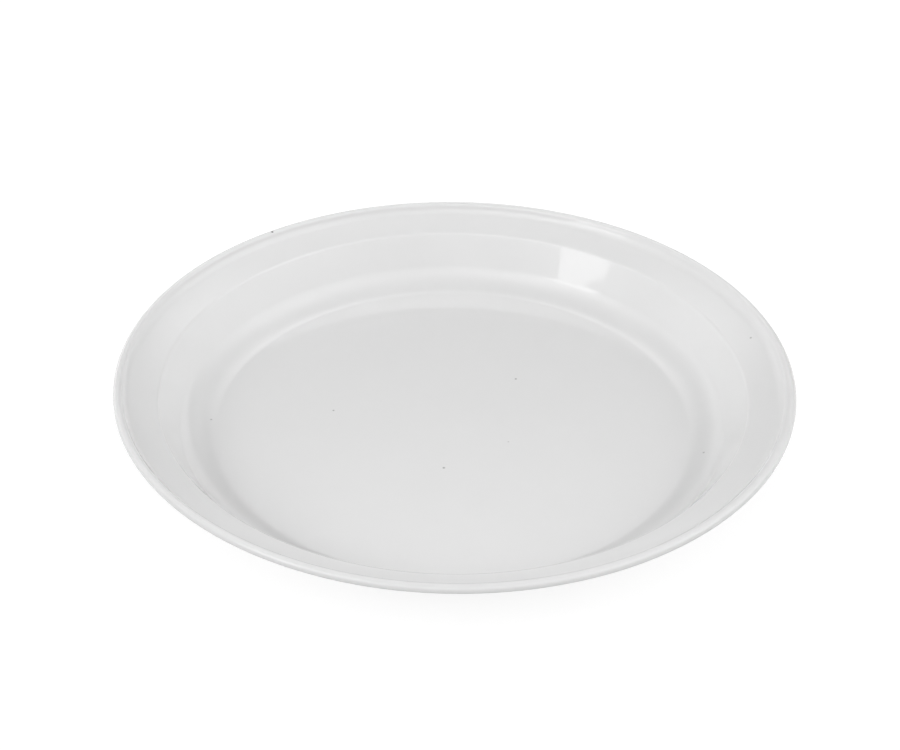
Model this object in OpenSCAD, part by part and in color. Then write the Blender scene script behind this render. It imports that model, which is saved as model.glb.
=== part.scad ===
// Dessert plate formed from one thin plastic sheet: a flat floor, a leaning wall,
// a rising flange and a small raised bead whose outer edge turns down.
// Millimetres. The underside of the floor lies on z = 0, and the axis of the plate is Z.
// The section is drawn from the outer edge inwards, and the floor takes what is left.

/* [Plate] */
// Diameter over the outer edge
plate_d = 170; // [90:1:320]
// Height from the table to the top of the bead
plate_h = 19.4; // [12:0.1:30]
// Thickness of the formed sheet
sheet_t = 0.3; // [0.2:0.05:0.55]

/* [Rim] */
// Width of the rim, from the outer edge to the top of the shoulder
rim_w = 10.1; // [5:0.1:22]
// Slope of the flange at the shoulder, in degrees
flange_slope_in = 19.5; // [5:0.5:26]
// Slope of the flange at the foot of the bead, in degrees
flange_slope_out = 27; // [20.5:0.5:58]

/* [Bead] */
// Radius over the top of the bead
bead_r = 1.2; // [0.6:0.1:3]
// Slope of the bead's inner side, in degrees
bead_slope = 66; // [36:0.5:80]
// Straight stretch of the bead's inner side
bead_side = 0.5; // [0.2:0.1:3]
// Radius in the groove at the foot of the bead
foot_r = 3.5; // [0.4:0.1:8]
// Straight stretch of the outer edge, below the rounding over the bead
edge_h = 0.1; // [0.1:0.05:4]

/* [Well] */
// Radius of the shoulder between the flange and the wall
shoulder_r = 1.3; // [0.6:0.1:8]
// Slope of the straight part of the wall, in degrees
wall_slope = 61; // [40:0.5:75]
// Radius between the wall and the floor
floor_r = 10; // [3:0.1:24]

/* [Hidden] */
// Straight steps in each rounding of the section
arc_steps = 12;
// The outer edge hangs straight down
edge_slope = -90;

// The rounding over the bead, and where its inner side begins
bead_axis_r = plate_d / 2 - bead_r;
bead_axis_z = plate_h - bead_r;
crest_in_r = bead_axis_r - bead_r * sin(bead_slope);
crest_in_z = bead_axis_z + bead_r * cos(bead_slope);

// The groove at the foot of the bead, from its outer to its inner end
foot_out_r = crest_in_r - bead_side * cos(bead_slope);
foot_out_z = crest_in_z - bead_side * sin(bead_slope);
foot_in_r = foot_out_r - foot_r * (sin(bead_slope) - sin(flange_slope_out));
foot_in_z = foot_out_z - foot_r * (cos(flange_slope_out) - cos(bead_slope));

// The flange is one hollow arc from the foot of the bead to the shoulder
shoulder_out_r = plate_d / 2 - rim_w;
flange_r = (foot_in_r - shoulder_out_r) / (sin(flange_slope_out) - sin(flange_slope_in));
shoulder_out_z = foot_in_z - flange_r * (cos(flange_slope_in) - cos(flange_slope_out));

// The shoulder rolls over from the flange into the wall
shoulder_in_r = shoulder_out_r - shoulder_r * (sin(wall_slope) - sin(flange_slope_in));
shoulder_in_z = shoulder_out_z - shoulder_r * (cos(flange_slope_in) - cos(wall_slope));

// The straight wall runs down to the rounding over the floor
wall_foot_z = sheet_t + floor_r * (1 - cos(wall_slope));
wall_foot_r = shoulder_in_r - (shoulder_in_z - wall_foot_z) / tan(wall_slope);
floor_flat_r = wall_foot_r - floor_r * sin(wall_slope);

// Stations [radius, height, slope] on a rounding that bends the sheet upwards,
// from one slope to the next, about a centre that lies above it
function hollow_arc(centre_r, centre_z, rad, from, to) = [
    for (i = [0:arc_steps])
        let (slope = from + (to - from) * i / arc_steps)
        [centre_r + rad * sin(slope), centre_z - rad * cos(slope), slope]
];

// Stations on a rounding that bends the sheet over, about a centre below it
function crown_arc(centre_r, centre_z, rad, from, to) = [
    for (i = [0:arc_steps])
        let (slope = from + (to - from) * i / arc_steps)
        [centre_r - rad * sin(slope), centre_z + rad * cos(slope), slope]
];

// The upper face of the sheet, from the axis out to the cut edge
upper_face = concat(
    [[0, sheet_t, 0]],
    hollow_arc(floor_flat_r, sheet_t + floor_r, floor_r, 0, wall_slope),
    crown_arc(
        shoulder_in_r + shoulder_r * sin(wall_slope),
        shoulder_in_z - shoulder_r * cos(wall_slope),
        shoulder_r, wall_slope, flange_slope_in
    ),
    hollow_arc(
        foot_in_r - flange_r * sin(flange_slope_out),
        foot_in_z + flange_r * cos(flange_slope_out),
        flange_r, flange_slope_in, flange_slope_out
    ),
    hollow_arc(
        foot_in_r - foot_r * sin(flange_slope_out),
        foot_in_z + foot_r * cos(flange_slope_out),
        foot_r, flange_slope_out, bead_slope
    ),
    crown_arc(bead_axis_r, bead_axis_z, bead_r, bead_slope, 0),
    crown_arc(bead_axis_r, bead_axis_z, bead_r, 0, edge_slope),
    [[plate_d / 2, bead_axis_z - edge_h, edge_slope]]
);

// A station that repeats the one before it, where two roundings join, is dropped
function no_repeats(stations) = [
    for (i = [0:len(stations) - 1])
        if (i == 0 || norm(stations[i] - stations[i - 1]) > 0.001) stations[i]
];

// The lower face lies one sheet thickness behind the upper one, square to it
function behind(station) = [
    station[0] + sheet_t * sin(station[2]),
    station[1] - sheet_t * cos(station[2])
];

module plate() {
    stations = no_repeats(upper_face);
    last = len(stations) - 1;
    color("whitesmoke")
        rotate_extrude($fn = 180)
            polygon(concat(
                [for (i = [0:last]) [stations[i][0], stations[i][1]]],
                [for (i = [last:-1:0]) behind(stations[i])]
            ));
}

plate();
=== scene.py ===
import math

import bmesh
import bpy
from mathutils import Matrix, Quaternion, Vector


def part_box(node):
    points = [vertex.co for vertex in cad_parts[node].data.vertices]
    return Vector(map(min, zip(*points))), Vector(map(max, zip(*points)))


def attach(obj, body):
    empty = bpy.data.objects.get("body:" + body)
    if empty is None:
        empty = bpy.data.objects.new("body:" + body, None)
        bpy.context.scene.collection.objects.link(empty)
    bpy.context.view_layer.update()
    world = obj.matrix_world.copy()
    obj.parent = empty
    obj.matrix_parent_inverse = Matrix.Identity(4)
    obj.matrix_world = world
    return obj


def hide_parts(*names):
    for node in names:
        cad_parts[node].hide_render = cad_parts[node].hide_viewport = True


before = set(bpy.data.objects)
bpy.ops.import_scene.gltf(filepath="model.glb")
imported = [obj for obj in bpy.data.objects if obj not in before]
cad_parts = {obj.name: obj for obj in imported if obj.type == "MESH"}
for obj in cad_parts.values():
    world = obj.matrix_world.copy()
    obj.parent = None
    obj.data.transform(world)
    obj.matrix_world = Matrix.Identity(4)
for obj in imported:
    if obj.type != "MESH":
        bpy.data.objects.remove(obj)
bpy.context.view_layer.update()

# The plate: one sheet of white polystyrene, drawn by vacuum over a round mould while it was hot.
# A punch then cut it out and turned its edge down over a small bead. The punch landed a little
# to one side of the mould's centre, so that the rim is narrower on the left than on the right.
MM = 0.001
low, high = (Vector(corner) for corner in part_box("plate"))
outer_r = high.x
top_z = high.z
sheet_t = 0.3 * MM
rim_w = 10.1 * MM
flange_slope_in = 19.5
flange_slope_out = 27
bead_r = 1.2 * MM
bead_slope = 66
bead_side = 0.5 * MM
foot_r = 3.5 * MM
edge_h = 0.1 * MM
shoulder_r = 1.3 * MM
wall_slope = 61
floor_r = 10 * MM
punch_shift = 0.4 * MM


def reach(radius, turn):
    """Distance from a corner to where a rounding of this radius through this turn begins."""
    return radius * math.tan(math.radians(turn) / 2)


# The flange is hollow: one long rounding that takes up the rim between shoulder and bead
flange_turn = flange_slope_out - flange_slope_in
foot_turn = bead_slope - flange_slope_out
shoulder_turn = wall_slope - flange_slope_in
bead_w = (bead_r * (1 + math.sin(math.radians(bead_slope)))
          + bead_side * math.cos(math.radians(bead_slope))
          + foot_r * (math.sin(math.radians(bead_slope)) - math.sin(math.radians(flange_slope_out))))
flange_r = (rim_w - bead_w) / (math.sin(math.radians(flange_slope_out))
                               - math.sin(math.radians(flange_slope_in)))

# The section, walked inwards from the cut edge: the slope of each leg, its length, and the
# rounding at its inner end as radius, turn and segments
legs = [
    (-90, edge_h + reach(bead_r, 90), (bead_r, 90, 14)),
    (0, reach(bead_r, 90) + reach(bead_r, bead_slope), (bead_r, bead_slope, 10)),
    (bead_slope, reach(bead_r, bead_slope) + bead_side + reach(foot_r, foot_turn), (foot_r, foot_turn, 8)),
    (flange_slope_out, reach(foot_r, foot_turn) + reach(flange_r, flange_turn), (flange_r, flange_turn, 10)),
    (flange_slope_in, reach(flange_r, flange_turn) + reach(shoulder_r, shoulder_turn),
     (shoulder_r, shoulder_turn, 10)),
]
sheet = bmesh.new()
spot = Vector((outer_r, 0, top_z - bead_r - edge_h))
corners = [sheet.verts.new(spot)]
roundings = []
for slope, length, rounding in legs:
    angle = math.radians(slope)
    spot = spot - length * Vector((math.cos(angle), 0, math.sin(angle)))
    corners.append(sheet.verts.new(spot))
    roundings.append((spot.copy(), rounding))

# The wall runs straight down to the floor, which takes what is left to the axis
wall_run = (spot.z - sheet_t) / math.tan(math.radians(wall_slope))
spot = Vector((spot.x - wall_run, 0, sheet_t))
corners.append(sheet.verts.new(spot))
roundings.append((spot.copy(), (floor_r, wall_slope, 26)))
corners.append(sheet.verts.new((0, 0, sheet_t)))
for start, end in zip(corners, corners[1:]):
    sheet.edges.new((start, end))
bmesh.ops.spin(
    sheet, geom=sheet.verts[:] + sheet.edges[:], cent=(0, 0, 0), axis=(0, 0, 1), dvec=(0, 0, 0),
    angle=2 * math.pi, steps=360, use_merge=True,
)
bmesh.ops.remove_doubles(sheet, verts=sheet.verts, dist=0.001 * MM)


def on_ring(vert, corner):
    """Whether a vertex lies on the ring that a corner of the section was spun into."""
    slack = 0.002 * MM
    return abs(vert.co.z - corner.z) < slack and abs(vert.co.xy.length - corner.x) < slack


for corner, (radius, turn, segments) in roundings:
    ring = [edge for edge in sheet.edges if all(on_ring(vert, corner) for vert in edge.verts)]
    bmesh.ops.bevel(
        sheet, geom=ring, offset=reach(radius, turn), offset_type="OFFSET", affect="EDGES",
        segments=segments, profile=0.5, material=-1, clamp_overlap=False,
    )
bmesh.ops.remove_doubles(sheet, verts=sheet.verts, dist=0.002 * MM)
bmesh.ops.recalc_face_normals(sheet, faces=sheet.faces)
middle = min(sheet.faces, key=lambda face: face.calc_center_median().xy.length)
if middle.normal.z < 0:
    bmesh.ops.reverse_faces(sheet, faces=sheet.faces)

# Everything inside the bead lies a little to the left of the punched edge
for vert in sheet.verts:
    share = min(1, (outer_r - vert.co.xy.length) / bead_w)
    vert.co.x -= punch_shift * share * share * (3 - 2 * share)
plate_mesh = bpy.data.meshes.new("plate_sheet")
sheet.to_mesh(plate_mesh)
sheet.free()
plate_mesh.shade_smooth()
plate = bpy.data.objects.new("plate_sheet", plate_mesh)
bpy.context.scene.collection.objects.link(plate)

# The section is the upper face, and the sheet's thickness lies behind it
thickness = plate.modifiers.new("sheet_thickness", "SOLIDIFY")
thickness.thickness = sheet_t
thickness.offset = -1
thickness.use_even_offset = True


def linear(hex_colour):
    """An sRGB hex colour as linear RGBA."""
    parts = [int(hex_colour[i:i + 2], 16) / 255 for i in (1, 3, 5)]
    return [part / 12.92 if part <= 0.04045 else ((part + 0.055) / 1.055) ** 2.4 for part in parts] + [1]


def add(tree, kind, settings=None, links=None):
    """A node with its settings, and with its inputs set or linked by name or number."""
    node = tree.nodes.new(kind)
    for name, value in (settings or {}).items():
        setattr(node, name, value)
    for name, value in (links or {}).items():
        if isinstance(value, bpy.types.NodeSocket):
            tree.links.new(value, node.inputs[name])
        else:
            node.inputs[name].default_value = value
    return node


# High-impact polystyrene, vacuum formed: an even white with a hard gloss, faintly clouded where
# the sheet is thinner, with dark specks of regrind that were already in the pellets.
polystyrene = bpy.data.materials.new("vacuum_formed_polystyrene")
polystyrene.use_nodes = True
tree = polystyrene.node_tree
tree.nodes.clear()
place = add(tree, "ShaderNodeTexCoord").outputs["Object"]
cloud_size = 22 * MM
cloud = add(tree, "ShaderNodeTexNoise", {"noise_dimensions": "3D"},
            {"Vector": place, "Scale": 1 / cloud_size, "Detail": 3.0, "Roughness": 0.55})
white = add(tree, "ShaderNodeMix", {"data_type": "RGBA"},
            {"Factor": cloud.outputs["Fac"], 6: linear("#ECECEC"), 7: linear("#EFEFEF")}).outputs[2]

# Each speck, in millimetres: where it lies, as carried from the photo through the fitted camera,
# its radius, and how dark it shows through the white
specks = [
    ((16.65, 17.20, 0.30), 0.28, 0.55),
    ((-31.74, 1.64, 0.30), 0.26, 0.45),
    ((-2.41, -21.93, 0.30), 0.32, 0.50),
    ((13.91, -10.98, 0.30), 0.22, 0.25),
    ((-63.11, -3.29, 0.53), 0.26, 0.35),
    ((-54.00, 63.87, 19.32), 0.34, 0.85),
    ((78.06, 14.90, 16.04), 0.30, 0.40),
    ((62.84, -15.77, 1.37), 0.28, 0.40),
]
for spot, radius, darkness in specks:
    gap = add(tree, "ShaderNodeVectorMath", {"operation": "DISTANCE"},
              {0: place, 1: [value * MM for value in spot]}).outputs["Value"]
    shade = add(tree, "ShaderNodeMapRange", {"interpolation_type": "SMOOTHSTEP"},
                {"Value": gap, "From Min": radius * 1.5 * MM, "From Max": radius * 0.5 * MM,
                 "To Min": 0.0, "To Max": darkness}).outputs[0]
    white = add(tree, "ShaderNodeMix", {"data_type": "RGBA"},
                {"Factor": shade, 6: white, 7: linear("#4A4846")}).outputs[2]

# The mould's skin left soft ripples a few millimetres across. Drawing the sheet down left fine
# lines that run down the wall, and start above the rounding over the floor.
ripple_size, ripple_depth = 7 * MM, 0.008 * MM
ripple = add(tree, "ShaderNodeTexNoise", {"noise_dimensions": "3D"},
             {"Vector": place, "Scale": 1 / ripple_size, "Detail": 1.0, "Roughness": 0.4})
rippled = add(tree, "ShaderNodeBump", {},
              {"Strength": 1.0, "Distance": ripple_depth, "Height": ripple.outputs["Fac"]})
line_size, line_depth = 2.4 * MM, 0.004 * MM
line_start, line_full = 1 * MM, 5 * MM
level = add(tree, "ShaderNodeVectorMath", {"operation": "MULTIPLY"}, {0: place, 1: (1, 1, 0)}).outputs[0]
bearing = add(tree, "ShaderNodeVectorMath", {"operation": "NORMALIZE"}, {0: level}).outputs[0]
wall_place = add(tree, "ShaderNodeVectorMath", {"operation": "SCALE"},
                 {0: bearing, "Scale": outer_r}).outputs[0]
draw_line = add(tree, "ShaderNodeTexNoise", {"noise_dimensions": "3D"},
                {"Vector": wall_place, "Scale": 1 / line_size, "Detail": 2.0, "Roughness": 0.6})
height = add(tree, "ShaderNodeSeparateXYZ", {}, {0: place}).outputs["Z"]
on_wall = add(tree, "ShaderNodeMapRange", {"interpolation_type": "SMOOTHSTEP"},
              {"Value": height, "From Min": line_start, "From Max": line_full,
               "To Min": 0.0, "To Max": 1.0}).outputs[0]
drawn = add(tree, "ShaderNodeBump", {},
            {"Strength": on_wall, "Distance": line_depth, "Height": draw_line.outputs["Fac"],
             "Normal": rippled.outputs[0]})

# The sheet is thin enough to let light through, which lifts the wall and the flange where they
# stand clear of the table. The light spreads about a millimetre inside the plastic.
surface = add(tree, "ShaderNodeBsdfPrincipled", {},
              {"Base Color": white, "Roughness": 0.05, "IOR": 1.57, "Normal": drawn.outputs[0],
               "Subsurface Weight": 0.5, "Subsurface Scale": 1 * MM, "Subsurface Radius": (1, 1, 1)})
add(tree, "ShaderNodeOutputMaterial", {}, {"Surface": surface.outputs[0]})
plate_mesh.materials.append(polystyrene)
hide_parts("plate")
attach(plate, "root")

# The table: a seamless sheet of white paper. The camera and the gloss see it as pure white with
# a faint shadow, and it gives the plate no more light than dull paper does.
table_reach = 2.0
table_mesh = bpy.data.meshes.new("studio_floor")
ground = bmesh.new()
bmesh.ops.create_grid(ground, x_segments=1, y_segments=1, size=table_reach)
ground.to_mesh(table_mesh)
ground.free()
table = bpy.data.objects.new("studio_floor", table_mesh)
bpy.context.scene.collection.objects.link(table)
paper = bpy.data.materials.new("white_paper")
paper.use_nodes = True
tree = paper.node_tree
tree.nodes.clear()
path = add(tree, "ShaderNodeLightPath")
straight = add(tree, "ShaderNodeMath", {"operation": "MAXIMUM"},
               {0: path.outputs["Is Camera Ray"], 1: path.outputs["Is Transmission Ray"]}).outputs[0]
seen = add(tree, "ShaderNodeMath", {"operation": "MAXIMUM"},
           {0: straight, 1: path.outputs["Is Glossy Ray"]}).outputs[0]
dull = add(tree, "ShaderNodeBsdfDiffuse", {}, {"Color": linear("#BEBEBE")})
glow = add(tree, "ShaderNodeEmission", {}, {"Color": (1, 1, 1, 1), "Strength": 0.86})
shaded = add(tree, "ShaderNodeBsdfDiffuse", {}, {"Color": linear("#808080")})
white_sheet = add(tree, "ShaderNodeAddShader", {}, {0: glow.outputs[0], 1: shaded.outputs[0]})
both = add(tree, "ShaderNodeMixShader", {}, {0: seen, 1: dull.outputs[0], 2: white_sheet.outputs[0]})
add(tree, "ShaderNodeOutputMaterial", {}, {"Surface": both.outputs[0]})
table_mesh.materials.append(paper)


# The key light: a small soft box at the front left, a little over a metre from the plate. Its
# straight sides show in the gloss of the far wall, as the bright patch right of the middle.
def toward(azimuth, elevation):
    """The unit vector to a bearing in degrees, counted from +X towards +Y, and a height in degrees."""
    turn, rise = math.radians(azimuth), math.radians(elevation)
    return Vector((math.cos(rise) * math.cos(turn), math.cos(rise) * math.sin(turn), math.sin(rise)))


target = Vector((0, 0, top_z))
key_distance = 1.2
key_bearing, key_rise = 212, 33
key = bpy.data.lights.new("key_box", "AREA")
key.shape = "RECTANGLE"
key.size, key.size_y = 0.40, 0.36
key.energy = 0.92
key_holder = bpy.data.objects.new("key_box", key)
key_holder.location = target + key_distance * toward(key_bearing, key_rise)
key_holder.rotation_euler = (target - key_holder.location).to_track_quat("-Z", "Y").to_euler()
bpy.context.scene.collection.objects.link(key_holder)

# The room: soft glows around the table, dark overhead and low in front. Each has its bearing and
# height in degrees, how tight it is, and how bright. They stand in for a studio that isn't seen:
# the strengths were fitted to the plate's tones in one photo, partly by least squares.
glows = [
    (15, 23, 12, 0.84),
    (160, 16, 16, 1.08),
    (130, 3, 20, 1.36),
    (35, 3, 24, 0.74),
    (90, 0, 24, 0.89),
    (65, 24, 80, 0.4),
    (325, 45, 8, 1.19),
    (180, 40, 8, 0.42),
    (0, 40, 8, 1.08),
    (270, 52, 14, 0.83),
    (270, 33, 30, 0.4),
    (235, 50, 14, 1.66),
    (205, 38, 14, 1.6),
]
room = bpy.data.worlds.new("pale_room")
room.use_nodes = True
tree = room.node_tree
tree.nodes.clear()
gaze = add(tree, "ShaderNodeTexCoord").outputs["Generated"]
light = 0.0
for azimuth, elevation, tightness, strength in glows:
    facing = add(tree, "ShaderNodeVectorMath", {"operation": "DOT_PRODUCT"},
                 {0: gaze, 1: toward(azimuth, elevation)}).outputs["Value"]
    ahead = add(tree, "ShaderNodeMath", {"operation": "MAXIMUM"}, {0: facing, 1: 0.0}).outputs[0]
    lobe = add(tree, "ShaderNodeMath", {"operation": "POWER"}, {0: ahead, 1: tightness}).outputs[0]
    light = add(tree, "ShaderNodeMath", {"operation": "MULTIPLY_ADD"},
                {0: lobe, 1: strength, 2: light}).outputs[0]

# The window: long and bright, behind the table, and soft at its lower and upper edge. The plate's
# floor mirrors it, and so grows brighter from the far side, which meets the dark below the window.
window_strength = 1.65
window_tightness = 8.0
sill_low, sill_high = (toward(90, elevation).z for elevation in (31, 46))
lintel_low, lintel_high = (toward(90, elevation).z for elevation in (50, 62))
rise = add(tree, "ShaderNodeSeparateXYZ", {}, {0: gaze}).outputs["Z"]
sill = add(tree, "ShaderNodeMapRange", {"interpolation_type": "SMOOTHSTEP"},
           {"Value": rise, "From Min": sill_low, "From Max": sill_high}).outputs[0]
lintel = add(tree, "ShaderNodeMapRange", {"interpolation_type": "SMOOTHSTEP"},
             {"Value": rise, "From Min": lintel_high, "From Max": lintel_low}).outputs[0]
level = add(tree, "ShaderNodeVectorMath", {"operation": "MULTIPLY"}, {0: gaze, 1: (1, 1, 0)}).outputs[0]
heading = add(tree, "ShaderNodeVectorMath", {"operation": "NORMALIZE"}, {0: level}).outputs[0]
behind = add(tree, "ShaderNodeVectorMath", {"operation": "DOT_PRODUCT"},
             {0: heading, 1: (0, 1, 0)}).outputs["Value"]
ahead = add(tree, "ShaderNodeMath", {"operation": "MAXIMUM"}, {0: behind, 1: 0.0}).outputs[0]
width = add(tree, "ShaderNodeMath", {"operation": "POWER"}, {0: ahead, 1: window_tightness}).outputs[0]
pane = add(tree, "ShaderNodeMath", {"operation": "MULTIPLY"}, {0: sill, 1: lintel}).outputs[0]
window = add(tree, "ShaderNodeMath", {"operation": "MULTIPLY"}, {0: pane, 1: width}).outputs[0]
light = add(tree, "ShaderNodeMath", {"operation": "MULTIPLY_ADD"},
            {0: window, 1: window_strength, 2: light}).outputs[0]
lit = add(tree, "ShaderNodeBackground", {}, {"Color": (1, 1, 1, 1), "Strength": light})
backdrop = add(tree, "ShaderNodeBackground", {}, {"Color": (1, 1, 1, 1), "Strength": 1.0})
path = add(tree, "ShaderNodeLightPath")
seen = add(tree, "ShaderNodeMixShader", {},
           {0: path.outputs["Is Camera Ray"], 1: lit.outputs[0], 2: backdrop.outputs[0]})
add(tree, "ShaderNodeOutputWorld", {}, {"Surface": seen.outputs[0]})
bpy.context.scene.world = room

# The camera: a normal lens, four radii from the plate and a third of the way up to overhead. Its
# height, aim, roll and lens come from a fit to the plate's outline and its shoulder ring.
camera_bearing, camera_rise = 270, 33.72
camera_roll = 0.561
aim = target + Vector((-1.16, -9.01, 0)) * MM
camera_data = bpy.data.cameras.new("camera")
camera_data.sensor_width = 36
camera_data.lens = 53.6
camera = bpy.data.objects.new("camera", camera_data)
camera.location = target + 4 * outer_r * toward(camera_bearing, camera_rise)
camera.rotation_mode = "QUATERNION"
camera.rotation_quaternion = ((aim - camera.location).to_track_quat("-Z", "Y")
                              @ Quaternion((0, 0, 1), math.radians(camera_roll)))
bpy.context.scene.collection.objects.link(camera)
bpy.context.scene.camera = camera

bpy.context.scene.view_settings.view_transform = "Standard"
